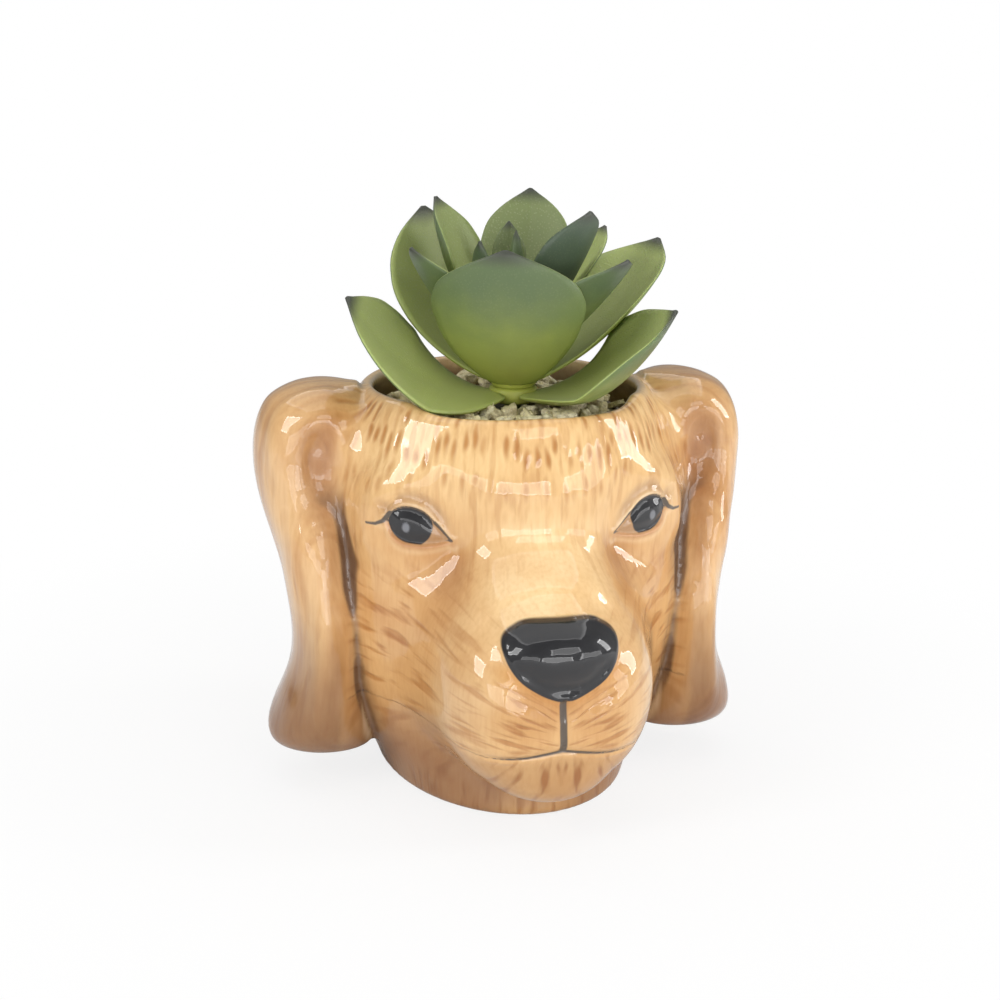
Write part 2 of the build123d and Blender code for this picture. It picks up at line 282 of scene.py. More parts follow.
def curve(places, table):
    """A smooth line through a table of places and values, flat beyond its ends."""
    xs, ys = np.array(table, float).T
    slopes = np.gradient(ys, xs)
    at = np.clip(places, xs[0], xs[-1])
    low = np.clip(np.searchsorted(xs, at, side="right") - 1, 0, len(xs) - 2)
    step = xs[low + 1] - xs[low]
    t = (at - xs[low]) / step
    return ((1 + 2 * t) * (1 - t)**2 * ys[low] + t * (1 - t)**2 * step * slopes[low]
            + t**2 * (3 - 2 * t) * ys[low + 1] + t**2 * (t - 1) * step * slopes[low + 1])


def bell(value, width=1.0):
    """1 at zero, falling smoothly to 0 over a few widths."""
    return np.exp(-(value / width)**2)


def ramp(value, low, high):
    """0 below low, 1 above high, smooth between."""
    t = np.clip((value - low) / (high - low), 0, 1)
    return t * t * (3 - 2 * t)


def oval(across, up, half_width, half_height):
    """How far a place lies from an oval's middle, 1 at its edge."""
    return np.hypot(across / half_width, up / half_height)


def spot(across, up, place):
    """1 in the middle of a soft spot, falling smoothly to 0 over a few half sizes."""
    return bell(oval(across - place[0], up - place[1], place[2], place[3]))


def line_distance(across, up, route):
    """Distance to a painted line, and how far along it the nearest place lies, from 0 to 1."""
    best = np.full(across.shape, np.inf)
    share = np.zeros(across.shape)
    spans = len(route) - 1
    for index in range(spans):
        (ax, ay), (bx, by) = route[index], route[index + 1]
        length_squared = (bx - ax)**2 + (by - ay)**2
        t = np.clip(((across - ax) * (bx - ax) + (up - ay) * (by - ay)) / length_squared, 0, 1)
        distance = np.hypot(across - ax - t * (bx - ax), up - ay - t * (by - ay))
        nearer = distance < best
        best = np.where(nearer, distance, best)
        share = np.where(nearer, (index + t) / spans, share)
    return best, share


# Meshes

def link(piece):
    bpy.context.scene.collection.objects.link(piece)
    return piece


def mesh_piece(name, points, faces, attributes=None):
    """A smooth-shaded mesh from points in millimetres, with named values on its points."""
    mesh = bpy.data.meshes.new(name)
    mesh.from_pydata((np.asarray(points) * MM).tolist(), [], faces)
    mesh.update()
    add_attributes(mesh, attributes or {})
    mesh.shade_smooth()
    return link(bpy.data.objects.new(name, mesh))


def add_attributes(mesh, attributes):
    """Writes one value, three values or a colour for each point."""
    kinds = {1: ("FLOAT", "value"), 3: ("FLOAT_VECTOR", "vector"), 4: ("FLOAT_COLOR", "color")}
    for name, values in attributes.items():
        values = np.asarray(values, np.float32)
        columns = 1 if values.ndim == 1 else values.shape[1]
        kind, field = kinds[columns]
        mesh.attributes.new(name, kind, "POINT").data.foreach_set(field, values.ravel())


def mesh_values(items, field, columns, kind=float):
    """A field of a mesh's points or edges as rows of numbers."""
    values = np.empty(len(items) * columns, kind)
    items.foreach_get(field, values)
    return values.reshape(-1, columns)


def mesh_points(mesh):
    return mesh_values(mesh.vertices, "co", 3)


def mesh_normals(mesh):
    return mesh_values(mesh.vertices, "normal", 3)


def mesh_edges(mesh):
    return mesh_values(mesh.edges, "vertices", 2, np.int32)


def set_points(mesh, points):
    mesh.vertices.foreach_set("co", np.asarray(points, np.float32).ravel())
    mesh.update()


def neighbour_mean(points, edges):
    """The middle of each point's neighbours."""
    first, second = edges.T
    count = np.bincount(edges.ravel(), minlength=len(points))
    total = np.empty_like(points)
    for axis in range(points.shape[1]):
        column = points[:, axis]
        total[:, axis] = (np.bincount(first, column[second], len(points))
                          + np.bincount(second, column[first], len(points)))
    return total / count[:, None]


def relax(points, edges, rounds, weight=1.0, back=-0.52):
    """Smooths a surface. The step back keeps its size; without it, creases fill and edges round."""
    for _ in range(rounds):
        for push in (0.5, back):
            if push:
                points = points + weight * push * (neighbour_mean(points, edges) - points)
    return points


def even_copy(node, voxel):
    """A node's surface as even quads, in millimetres."""
    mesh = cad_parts[node].data.copy()
    mesh.materials.clear()
    mesh.transform(Matrix.Scale(1 / MM, 4))
    holder = link(bpy.data.objects.new("even", mesh))
    remesh = holder.modifiers.new("voxels", "REMESH")
    remesh.mode = "VOXEL"
    remesh.voxel_size = voxel
    evaluated = holder.evaluated_get(bpy.context.evaluated_depsgraph_get())
    even = bpy.data.meshes.new_from_object(evaluated)
    bpy.data.objects.remove(holder)
    return even


def halve_edges(mesh, chosen):
    """Divides every quad among the chosen points into four."""
    build = bmesh.new()
    build.from_mesh(mesh)
    build.verts.ensure_lookup_table()
    edges = [edge for edge in build.edges if chosen[edge.verts[0].index] and chosen[edge.verts[1].index]]
    bmesh.ops.subdivide_edges(build, edges=edges, cuts=1, use_grid_fill=True)
    build.to_mesh(mesh)
    build.free()
    mesh.update()


# Head

def eye_places(points):
    """Each point's place beside the eye on its side: outward, upward and out of the face."""
    across = np.abs(points[:, 0]) - eye_out
    behind = points[:, 1] + eye_forward
    outward = across * math.cos(eye_turn) + behind * math.sin(eye_turn)
    depth = across * math.sin(eye_turn) - behind * math.cos(eye_turn)
    return outward, points[:, 2] - eye_height, depth


def lid_places(outward, upward):
    """Places along and over the line between the eye's corners."""
    across = outward - eye_mid[0]
    up = upward - eye_mid[1]
    along = across * math.cos(eye_tilt) + up * math.sin(eye_tilt)
    over = up * math.cos(eye_tilt) - across * math.sin(eye_tilt)
    return along, over


def eye_opening(along, over):
    """Distance out of the opening between the lids, negative inside it."""
    above = over - curve(along, upper_lid)
    below = curve(along, lower_lid) - over
    ends = np.maximum(along - upper_lid[-1][0], upper_lid[0][0] - along)
    return np.maximum(np.maximum(above, below), ends)


def nose_distance(points):
    """Distance out of the nose leather's outline, negative on it."""
    x, z = points[:, 0], points[:, 2] - nose_height
    angle = np.degrees(np.arctan2(np.abs(x), z))
    return np.hypot(x, z) - curve(angle, nose_outline)


def hollow_place(points):
    """How far a point lies from the middle of the ear's hollow, 1 near its edge."""
    return oval(np.abs(points[:, 0]) - hollow_out, points[:, 2] - hollow_height, *hollow_size)


def beside_ear(points):
    """1 along the crease between the ear's flap and the cheek."""
    x, y, z = points.T
    side = np.abs(x)
    return ramp(side, 36, 39) * ramp(-side, -49, -46) * ramp(z, 12, 20) * ramp(-z, -76, -66) * ramp(-y, -4, 4)


def melt_shares(points):
    """How much each point of the casting gives way where one form runs into the next."""
    x, y, z = points.T
    side = np.abs(x)
    outward, upward, _ = eye_places(points)
    clear_of_eye = 1 - spot(outward, upward, eye_melt_spot) * ramp(-y, 8, 14)
    snout_root = ramp(-y, 17, 24) * ramp(y, -50, -40) * ramp(-side, -42, -37) * ramp(z, 12, 30) * clear_of_eye
    clear_of_hollow = 1 - 0.6 * ramp(-y, 4, 9) * ramp(1.5 - hollow_place(points), 0, 0.5)
    clear_of_rim = np.maximum(ramp(np.hypot(x, y), 35.5, 37.5), ramp(-z, -89, -86))
    temple = ramp(side, 32, 36) * ramp(-side, -57, -52) * ramp(z, 62, 68) * clear_of_hollow * clear_of_rim
    above_nose = ramp(-y, 40, 46) * spot(x, z, above_nose_spot)
    crease = beside_ear(points)
    joints = np.maximum(0.8 * temple, 0.2 * crease)
    return np.maximum(np.maximum(snout_root, joints), 0.6 * above_nose)


def sculpt(points):
    """How far each point of the casting moves out along its normal."""
    x, y, z = points.T
    side = np.abs(x)
    move = np.zeros(len(points))

    # Eyes: socket, lids, fold over the lid, brow and the corner beside the bridge
    outward, upward, depth = eye_places(points)
    along, over = lid_places(outward, upward)
    opening = eye_opening(along, over)
    front = bell(depth, 8.0) * ramp(-y, 6, 14)
    facet = ramp(2.1 - oval(outward, upward, *eye_facet), 0, 1.25) * ramp(-y, 6, 14)
    dome = eye_dome - eye_dome_fall * (outward**2 + upward**2)
    move += facet * np.clip(dome - depth, *eye_facet_limit)
    upper = ramp(over, -1.5, 1.5)
    move -= 0.5 * front * spot(outward, upward, socket_spot)
    move += 0.45 * front * (0.6 + 0.4 * upper) * bell(opening - 0.8, 0.6)
    move -= 0.45 * front * ramp(-opening, -0.2, 0.5)
    move += 0.95 * front * ramp(-opening, 0.1, 3.4)
    fold = over - curve(along, upper_lid) - 3.0
    move -= 0.35 * front * bell(fold, 0.9) * ramp(along, -8, -3) * ramp(-along, -12, -8)
    move += 0.9 * front * spot(outward, upward, brow_spot)
    move -= 0.5 * front * spot(outward, upward, inner_corner_spot)

    # Forehead, the step between the eyes, the bridge's sides and the cheeks
    ahead = ramp(-y, 14, 24)
    move += 1.5 * ahead * spot(x, z, forehead_spot)
    move -= 0.5 * ahead * spot(x, z, stop_spot)
    move -= 0.8 * ahead * spot(side, z, bridge_side_spot)
    move += 0.4 * ahead * spot(side, z, cheek_spot)

    # Nose leather: a rounded edge over the muzzle, faint nostrils
    snout = ramp(-y, nose_front, nose_front + 5)
    nose = nose_distance(points)
    ledge = 0.9 - 0.3 * ramp(nose_height - z, 0, 5)
    move -= ledge * snout * ramp(nose, -0.9, 1.2) * ramp(-nose, -8.0, -2.0)
    move -= 0.4 * snout * spot(side, z, nostril_spot)

    # Lips, the line between them, the chin set back below and the groove under the nose
    lips = ramp(-y, 38, 46) * ramp(-side, -mouth_half_width - 4, -mouth_half_width + 3)
    over_mouth = z - curve(side, mouth_line)
    move -= 0.9 * lips * bell(over_mouth, 0.8)
    move += 0.5 * lips * bell(over_mouth - 2.8, 2.0)
    move -= 0.7 * lips * ramp(-over_mouth, 0.2, 2.2) * ramp(z, 8, 15)
    move += 0.6 * lips * spot(side, z, lip_spot)
    move += 1.5 * ramp(-y, 34, 42) * spot(x, z, chin_spot)
    below_nose = ramp(over_mouth, 0, 1) * ramp(nose, -0.6, 0.4) * ramp(nose_height - z, 6, 8)
    move -= 0.6 * snout * bell(x, 1.0) * below_nose

    # Ears: the hollow's inner folds, its rolled edge and the flap's soft flutes
    ear = ramp(side, *ear_start) * ramp(-y, 0, 6)
    hollow = hollow_place(points)
    move += 0.5 * ear * bell(hollow - 1.45, 0.3) * ramp(z, 70, 82)
    move += 0.32 * ear * np.cos(8.0 * hollow + 0.25 * (side - hollow_out)) * bell(hollow, 0.9)
    flutes = np.cos(0.95 * (side - 50) + 0.06 * z) * ramp(-z, -68, -54) * ramp(z, 12, 24)
    move += 0.28 * ear * flutes
    return move


def paint_head(points, normals, cavity):
    """Paint, stroke coordinates and marks for each point of the casting."""
    x, y, z = points.T
    side = np.abs(x)
    colour = np.tile(np.array(tan), (len(points), 1))

    def lay(shade, share):
        nonlocal colour
        share = np.clip(share, 0, 1)[:, None]
        colour = colour * (1 - share) + np.array(shade) * share

    ahead = ramp(-y, 10, 22)
    outward, upward, depth = eye_places(points)
    along, over = lid_places(outward, upward)
    opening = eye_opening(along, over)
    near_eye = bell(depth, 8.0) * ahead
    nose = nose_distance(points)
    snout = ramp(-y, nose_front - 6, nose_front)
    over_mouth = z - curve(side, mouth_line)
    hollow = hollow_place(points)
    ear = ramp(side, *ear_start)
    ear_front = ear * ramp(-y, -2, 4)

    # Broad zones: pale forehead, bridge and muzzle, browner neck and ear ends
    lay(cream, 0.80 * ramp(z, 64, 84) * ramp(-side, -42, -32))
    lay(pale_cream, 0.95 * ahead * spot(x, z, bridge_paint_spot))
    lay(pale_cream, 0.60 * snout * ramp(z, 42, 50))
    lay(orange, 0.30 * ahead * spot(side, z, bridge_edge_spot))
    lay(muzzle_tan, 0.7 * snout * spot(side, z, muzzle_side_spot))
    # Browner lower neck, ear ends and chin: the paint's own brown, partly painted shade where less light
    # reaches low down and under the lip
    lay(brown, 0.90 * ramp(-z, -30, -8) * (1 - snout) * (1 - ear))
    lay(ear_brown, 0.92 * ramp(-z, -54, -14) * ear)
    lay(chin_tan, 0.75 * snout * ramp(-over_mouth, 0, 3))
    lay(cheek_tan, 0.8 * ahead * spot(side, z, cheek_paint_spot))
    lay(ear_cream, 0.7 * ear * ramp(z, 34, 54) * ramp(-z, -92, -80))

    # Warm shading: ear hollow, corners of the eyes, edges of the nose and the lips under it
    lay(rust, 0.80 * ear_front * bell(hollow, 0.95))
    lay(rust, 0.42 * ear_front * bell(side - 45.5, 3.0) * ramp(z, 40, 58) * ramp(-z, -84, -72))
    lay(orange, 0.85 * snout * bell(nose, 3.0) * ramp(nose_height + 1 - z, 0, 5))
    lay(deep_amber, 0.65 * snout * spot(x, z, left_lip_spot))
    lay(amber, 0.50 * snout * spot(x, z, right_lip_spot))
    lay(rust, 0.80 * near_eye * spot(outward, upward, corner_shade_spot))
    lay(orange, 0.65 * near_eye * spot(outward, upward, under_eye_spot))
    lay(bridge_brown, 0.60 * ahead * spot(side, z, bridge_shade_spot))
    lid_shade = near_eye * ramp(along, -9, -3) * ramp(-along, -13, -8)
    lay(lid_brown, 0.75 * lid_shade * bell(over - curve(along, upper_lid) - 2.4, 1.7))

    # Painted shade in creases, set by how deep each point lies: umber down the crease beside each ear and in
    # creases off the face below the rim, rust-red in the face's creases
    lay(crease_shade_umber, 0.95 * beside_ear(points) * ramp(cavity, 0.03, 0.22))
    below_rim = ramp(-z, -90, -84)
    face = ramp(-y, 24, 34)
    lay(crease_shade_umber, 0.80 * ramp(cavity, 0.10, 0.60) * (1 - face) * ramp(hollow, 0.9, 1.3) * below_rim)
    lay(rust, 0.50 * ramp(cavity, 0.12, 0.5) * face)

    # Eyes: lower lid, tan corners, and the pale edge over the upper lid
    lay(lower_lid_brown, 0.85 * near_eye * bell(opening - 0.35, 0.75) * ramp(-over, -0.6, 1.2))
    lay(lower_lid_pale, 0.35 * near_eye * bell(opening - 1.9, 0.7) * ramp(-over, 0, 1.6))
    lay(eye_corner_tan, near_eye * ramp(-opening, -0.1, 0.25))
    lay(upper_lid_pale, 0.70 * near_eye * bell(opening - 0.85, 0.34) * ramp(over, 0.2, 1.4))

    # Unseen inside and the foot
    inward = -(normals[:, 0] * x + normals[:, 1] * y) / (np.hypot(x, y) + 1)
    inside = ramp(inward, 0.3, 0.6) * ramp(-np.hypot(x, y), -41, -40) * ramp(z, 4, 6)
    inside = np.maximum(inside, ramp(normals[:, 2], 0.7, 0.9) * ramp(-z, -9, -7) * ramp(-side, -34, -32))
    lay(bisque, inside)
    lay(bisque, ramp(-normals[:, 2], 0.8, 0.95) * ramp(-z, -0.6, -0.2))

    # Black nose and irises, as distances from their edges, and the grey pupils
    dark = np.minimum(np.where(snout > 0.5, nose, 9.0), 9.0)
    iris = oval(outward - iris_mid[0], upward - iris_mid[1], *iris_size) - 1
    iris = np.maximum(iris * iris_size[1], opening + 0.1)
    dark = np.where(near_eye > 0.3, np.minimum(dark, iris), dark)
    pupil = near_eye * ramp(1 - oval(outward - pupil_mid[0], upward - pupil_mid[1], *pupil_size), -0.15, 0.25)

    # Dark brushed lines, as distances from their edges: mouth, groove under the nose, lids and lashes
    mouth = np.maximum(np.abs(over_mouth) - mouth_line_width * (1 - 0.7 * (side / mouth_half_width)**2),
                       side - mouth_half_width)
    groove = np.maximum(np.abs(x - groove_lean * (z - mouth_height)) - groove_half_width,
                        np.maximum(z - nose_height + 8, -over_mouth))
    lines = np.where(snout > 0.5, np.minimum(mouth, groove), 9.0)
    lid = np.maximum(np.abs(opening - 0.1) - 0.34, -0.4 - over)
    for route, width in ((outer_lash, 0.62), (inner_lash, 0.5)):
        distance, share = line_distance(outward, upward, route)
        lid = np.minimum(lid, distance - width * (1 - 0.6 * share))
    lines = np.where(near_eye > 0.3, np.minimum(lines, lid), lines)

    # Fur: strokes fan out over lips and cheeks, down the chin, and hang from the rim elsewhere
    chin = over_mouth < 0
    fan_across = np.where(chin, side, side + lip_fan[0])
    fan_up = np.where(chin, chin_fan - z, z - lip_fan[1])
    fan_turn = np.arctan2(fan_across, fan_up) * np.where(chin, 15.0, 32.0)
    fan_reach = np.hypot(fan_across, np.hypot(fan_up, 0.6 * (y + mouth_reach)))
    fanned = ramp(-y, 8, 16) * ramp(-z, -62, -50) * ramp(-side, -43, -40) * ramp(z, 5, 9)
    fur = np.stack([fan_turn, fan_reach, fanned], 1)
    coat = np.stack([hang_radius * np.arctan2(x, np.abs(y)), z, ear], 1)

    rim_band = ramp(z, 66, 84) * ramp(-z, -94.2, -92.5) * (1 - ear)
    rim_band *= 1 - near_eye * spot(outward, upward, eye_drop_spot)
    rim_band += 0.45 * ear_front * bell(hollow, 1.3)
    stroke = np.full(len(points), 0.40)
    stroke *= 1 - 0.75 * ahead * spot(x, z, bare_bridge_spot)
    stroke *= 1 - near_eye * spot(outward, upward, eye_stroke_spot)
    stroke *= 1 - 0.45 * ear * (1 - bell(hollow, 1.6))
    stroke += 0.35 * snout * spot(side, z, lip_stroke_spot)
    stroke += 0.50 * snout * ramp(-over_mouth, 1.0, 3.0)
    stroke += 0.50 * fanned * ahead * spot(side, z, cheek_stroke_spot)
    stroke = np.clip(stroke, 0, 1) * (1 - inside) * ramp(np.abs(lines), 0, 0.8) * ramp(dark, 0, 1.0)
    curls = ahead * ramp(side, 30, 36) * ramp(z, 66, 76) + 0.6 * ear_front * bell(hollow, 1.5)
    return {
        "paint": np.concatenate([colour, np.ones((len(points), 1))], 1),
        "fur": fur,
        "coat": coat,
        "marks": np.stack([stroke, np.clip(curls, 0, 1), pupil], 1),
        "rim_strokes": np.clip(rim_band, 0, 1) * (1 - inside),
        "dark": dark,
        "lines": lines,
    }


def build_head():
    mesh = even_copy("ceramic_pot", head_voxel)
    edges = mesh_edges(mesh)
    points = relax(mesh_points(mesh), edges, 6)
    points = relax(points, edges, 130, weight=melt_shares(points)[:, None], back=0)
    points = relax(points, edges, 4)
    set_points(mesh, points)
    x, y, z = points.T
    on_face = (np.abs(x) < face_half_width) & (y < -face_depth) & (z > face_bottom) & (z < face_top)
    halve_edges(mesh, on_face)

    edges = mesh_edges(mesh)
    points = relax(mesh_points(mesh), edges, 6)
    set_points(mesh, points)
    points = points + sculpt(points)[:, None] * mesh_normals(mesh)
    points = relax(points, edges, 2)
    low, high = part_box("ceramic_pot")
    points = np.clip(points, np.array(low) / MM, np.array(high) / MM)
    set_points(mesh, points)

    normals = mesh_normals(mesh)
    # How deep each point lies below its neighbours: it sets the painted shade in creases
    cavity = ((relax(points, edges, 40, back=0) - points) * normals).sum(1)
    cavity = relax(cavity[:, None], edges, 8, back=0)[:, 0]
    add_attributes(mesh, paint_head(points, normals, cavity))
    mesh.transform(Matrix.Scale(MM, 4))
    mesh.shade_smooth()
    mesh.name = "glazed_head"
    return link(bpy.data.objects.new("glazed_head", mesh))


# Shaders

class Shader:
    """A node material with short ways to add and join nodes."""

    def __init__(self, name):
        self.material = bpy.data.materials.new(name)
        self.material.use_nodes = True
        self.tree = self.material.node_tree
        self.surface = self.tree.nodes["Principled BSDF"]

    def node(self, kind, inputs=None, **settings):
        made = self.tree.nodes.new("ShaderNode" + kind)
        for key, value in settings.items():
            setattr(made, key, value)
        for key, value in (inputs or {}).items():
            self.put(made.inputs[key], value)
        return made.outputs

    def put(self, socket, value):
        if isinstance(value, bpy.types.NodeSocket):
            self.tree.links.new(value, socket)
        else:
            socket.default_value = value

    def set(self, **inputs):
        for key, value in inputs.items():
            self.put(self.surface.inputs[key.replace("_", " ")], value)

    def attribute(self, name, output="Fac"):
        return self.node("Attribute", attribute_name=name)[output]

    def place(self, scale):
        """Places on the piece in metres, times a scale along each axis."""
        at = self.node("TexCoord")["Object"]
        return self.node("Mapping", {"Vector": at, "Scale": scale})["Vector"]

    def noise(self, scale, vector=None, detail=2.0, roughness=0.5, distortion=0.0):
        inputs = {"Scale": scale, "Detail": detail, "Roughness": roughness, "Distortion": distortion}
        inputs["Vector"] = self.place((1, 1, 1)) if vector is None else vector
        return self.node("TexNoise", inputs)["Fac"]

    def math(self, operation, first, second=0.0, clamp=False):
        return self.node("Math", {0: first, 1: second}, operation=operation, use_clamp=clamp)[0]

    def ramp(self, value, low, high, start=0.0, end=1.0):
        inputs = {"Value": value, "From Min": low, "From Max": high, "To Min": start, "To Max": end}
        return self.node("MapRange", inputs, interpolation_type="SMOOTHSTEP")["Result"]

    def mix(self, share, first, second, blend="MIX"):
        inputs = {0: share, 6: first, 7: second}
        return self.node("Mix", inputs, data_type="RGBA", blend_type=blend)[2]

    def bump(self, height, distance, strength=1.0, normal=None):
        inputs = {"Height": height, "Distance": distance, "Strength": strength}
        if normal is not None:
            inputs["Normal"] = normal
        return self.node("Bump", inputs)["Normal"]


def rgba(red, green, blue):
    return (red, green, blue, 1.0)


def glaze_material():
    """Clear glaze over carved and brushed fur strokes, black nose and eyes."""
    shader = Shader("painted_glaze")
    paint = shader.attribute("paint", "Color")
    fur = shader.node("SeparateXYZ", {0: shader.attribute("fur", "Vector")})
    coat = shader.node("SeparateXYZ", {0: shader.attribute("coat", "Vector")})
    marks = shader.node("SeparateXYZ", {0: shader.attribute("marks", "Vector")})

    # Rows of carved drops under the rim
    wobble = {"Vector": shader.place((1, 1, 1)), "Scale": 150.0, "Detail": 1.0}
    wobble = shader.node("TexNoise", wobble)["Color"]
    wobble = shader.node("VectorMath", {0: wobble, 1: (0.5, 0.5, 0.5)}, operation="SUBTRACT")[0]
    wobble = shader.node("VectorMath", {0: wobble, "Scale": 0.8}, operation="SCALE")[0]
    hung = shader.node("CombineXYZ", {"X": coat["X"], "Y": coat["Y"]})[0]
    rows = shader.node("Mapping", {"Vector": hung, "Scale": (0.42, 0.120, 1.0)})[0]
    rows = shader.node("VectorMath", {0: rows, 1: wobble}, operation="ADD")[0]
    cell = shader.node("TexVoronoi", {"Vector": rows, "Scale": 1.0, "Randomness": 0.6},
                       voronoi_dimensions="2D")
    chance = shader.node("SeparateColor", {0: cell["Color"]})[0]
    drop = shader.math("MULTIPLY", shader.ramp(cell["Distance"], 0.06, 0.48, 0.9, 0.0),
                       shader.ramp(chance, 0.0, 0.6, 0.35, 1.0))
    drop = shader.math("MULTIPLY", drop, shader.attribute("rim_strokes"))

    # Brush strokes that hang down the coat and fan out over the face
    fanned = shader.node("CombineXYZ", {"X": fur["X"], "Y": fur["Y"]})[0]
    strokes = []
    for place, scale in ((hung, (0.55, 0.085, 1.0)), (fanned, (0.70, 0.115, 1.0))):
        place = shader.node("Mapping", {"Vector": place, "Scale": scale})[0]
        strokes.append(shader.ramp(shader.noise(1.0, place, detail=1.5, distortion=0.25), 0.48, 0.70))
    stroke = shader.mix(fur["Z"], strokes[0], strokes[1])
    stroke = shader.math("MULTIPLY", stroke, marks["X"])
    stroke = shader.math("MAXIMUM", stroke, drop)

    # Streaks down the ears, fine brush marks and cloudy depth in the glaze
    down_ear = shader.node("Mapping", {"Vector": hung, "Scale": (0.26, 0.022, 1.0)})[0]
    streak = shader.ramp(shader.noise(1.0, down_ear, detail=2.0), 0.45, 0.70)
    streak = shader.math("MULTIPLY", streak, coat["Z"])
    brush = shader.ramp(shader.noise(1.0, shader.place((1100.0, 1100.0, 160.0)), detail=3.0), 0.35, 0.75)
    cloud = shader.ramp(shader.noise(55.0, detail=4.0), 0.34, 0.68)

    colour = shader.mix(shader.math("MULTIPLY", cloud, 0.60), paint, rgba(0.80, 0.66, 0.50), "MULTIPLY")
    colour = shader.mix(shader.math("MULTIPLY", brush, 0.38), colour, rgba(0.84, 0.74, 0.62), "MULTIPLY")
    colour = shader.mix(stroke, colour, rgba(0.58, 0.38, 0.20), "MULTIPLY")
    colour = shader.mix(shader.math("MULTIPLY", streak, 0.7), colour, rgba(0.74, 0.58, 0.40), "MULTIPLY")
    line = shader.ramp(shader.attribute("lines"), -0.18, 0.20, 0.92, 0.0)
    colour = shader.mix(line, colour, rgba(0.055, 0.050, 0.045))
    black = shader.ramp(shader.attribute("dark"), -0.22, 0.18, 1.0, 0.0)
    colour = shader.mix(black, colour, rgba(0.010, 0.010, 0.012))
    colour = shader.mix(shader.math("MULTIPLY", marks["Z"], 0.55), colour, rgba(0.30, 0.31, 0.34))

    # Relief: carved strokes and curls under the glaze, and the glaze's own uneven surface
    curl = shader.noise(330.0, detail=2.0, distortion=0.8)
    carved = shader.math("ADD", shader.math("MULTIPLY", stroke, -1.3), shader.math("MULTIPLY", streak, -0.5))
    curl = shader.math("MULTIPLY", shader.math("MULTIPLY", curl, marks["Y"]), 2.2)
    carved = shader.math("ADD", carved, curl)
    wavy = shader.math("MULTIPLY", shader.noise(100.0, detail=1.0), 1.8)
    uneven = shader.bump(shader.math("ADD", carved, wavy), 0.00020)
    glossy = shader.bump(shader.math("ADD", shader.math("MULTIPLY", carved, 0.15), wavy), 0.00020)
    shader.set(Base_Color=colour, Normal=uneven, Coat_Normal=glossy, Roughness=0.40, Specular_IOR_Level=0.2,
               Coat_Weight=1.0, Coat_Roughness=0.03, Coat_IOR=1.5)
    return shader.material


def leaf_material():
    """Soft moulded plastic, yellow-green at the root, blue-green and stippled to a dark tip."""
    shader = Shader("leaf_plastic")
    place = shader.node("SeparateXYZ", {0: shader.attribute("leaf", "Vector")})
    along, across, inner = place["X"], place["Y"], place["Z"]
    tone = shader.attribute("tone")
    mottle = shader.noise(150.0, detail=3.0)
    edge = shader.math("POWER", shader.math("ABSOLUTE", across), 3.0)

    reach = shader.math("ADD", along, shader.math("MULTIPLY", shader.math("SUBTRACT", mottle, 0.5), 0.25))
    colour = shader.mix(shader.ramp(reach, 0.05, 0.55), rgba(0.40, 0.43, 0.080), rgba(0.275, 0.325, 0.070))
    colour = shader.mix(shader.ramp(reach, 0.38, 0.86), colour, rgba(0.112, 0.160, 0.064))
    colour = shader.mix(shader.math("MULTIPLY", edge, 0.30), colour, rgba(0.15, 0.20, 0.055))
    colour = shader.mix(shader.math("MULTIPLY", shader.ramp(inner, -0.2, 0.2), 0.72), colour,
                        rgba(0.46, 0.53, 0.175))
    # Painted shade: each piece darkened by its tone
    colour = shader.mix(tone, colour, rgba(0.060, 0.088, 0.058))

    # Pale stipple on the inner face and near the tip, and the dark point
    dots = shader.node("TexVoronoi", {"Vector": shader.place((1, 1, 1)), "Scale": 1500.0})["Distance"]
    dots = shader.ramp(dots, 0.18, 0.42, 1.0, 0.0)
    where = shader.math("MULTIPLY", shader.ramp(inner, -0.2, 0.2, 0.15, 1.0),
                        shader.ramp(along, 0.15, 0.75, 0.25, 1.0))
    colour = shader.mix(shader.math("MULTIPLY", shader.math("MULTIPLY", dots, where), 0.30), colour,
                        rgba(0.40, 0.45, 0.24))
    colour = shader.mix(shader.ramp(along, 0.90, 0.995), colour, rgba(0.055, 0.060, 0.045))

    grain = shader.noise(900.0, detail=2.0)
    height = shader.math("ADD", shader.math("MULTIPLY", dots, where), shader.math("MULTIPLY", grain, 0.5))
    shader.set(Base_Color=colour, Normal=shader.bump(height, 0.00006), Roughness=0.44, IOR=1.46,
               Subsurface_Weight=0.10, Subsurface_Radius=(0.5, 1.0, 0.2), Subsurface_Scale=0.0012)
    return shader.material


def bark_material():
    """Dry bark: grey-beige to brown crumbs with a fibrous grain."""
    shader = Shader("bark_crumbs")
    tone = shader.attribute("tone")
    fibre = shader.noise(1.0, shader.place((900.0, 260.0, 900.0)), detail=5.0, roughness=0.65)
    speck = shader.noise(1300.0, detail=3.0)
    colour = shader.mix(tone, rgba(0.78, 0.68, 0.38), rgba(0.92, 0.86, 0.62))
    colour = shader.mix(shader.ramp(fibre, 0.42, 0.70), colour, rgba(0.46, 0.38, 0.22))
    colour = shader.mix(shader.ramp(speck, 0.56, 0.72), colour, rgba(0.74, 0.66, 0.48))
    height = shader.math("ADD", fibre, shader.math("MULTIPLY", speck, 0.6))
    shader.set(Base_Color=colour, Normal=shader.bump(height, 0.0005), Roughness=0.9)
    return shader.material


def foam_material():
    """Rigid foam with small open cells."""
    shader = Shader("cut_foam")
    cells = shader.node("TexVoronoi", {"Vector": shader.place((1, 1, 1)), "Scale": 900.0})["Distance"]
    cloud = shader.noise(60.0, detail=4.0)
    colour = shader.mix(shader.ramp(cells, 0.1, 0.6), rgba(0.20, 0.17, 0.12), rgba(0.36, 0.32, 0.24))
    colour = shader.mix(shader.math("MULTIPLY", cloud, 0.5), colour, rgba(0.26, 0.23, 0.17))
    shader.set(Base_Color=colour, Normal=shader.bump(cells, 0.0004), Roughness=0.95)
    return shader.material


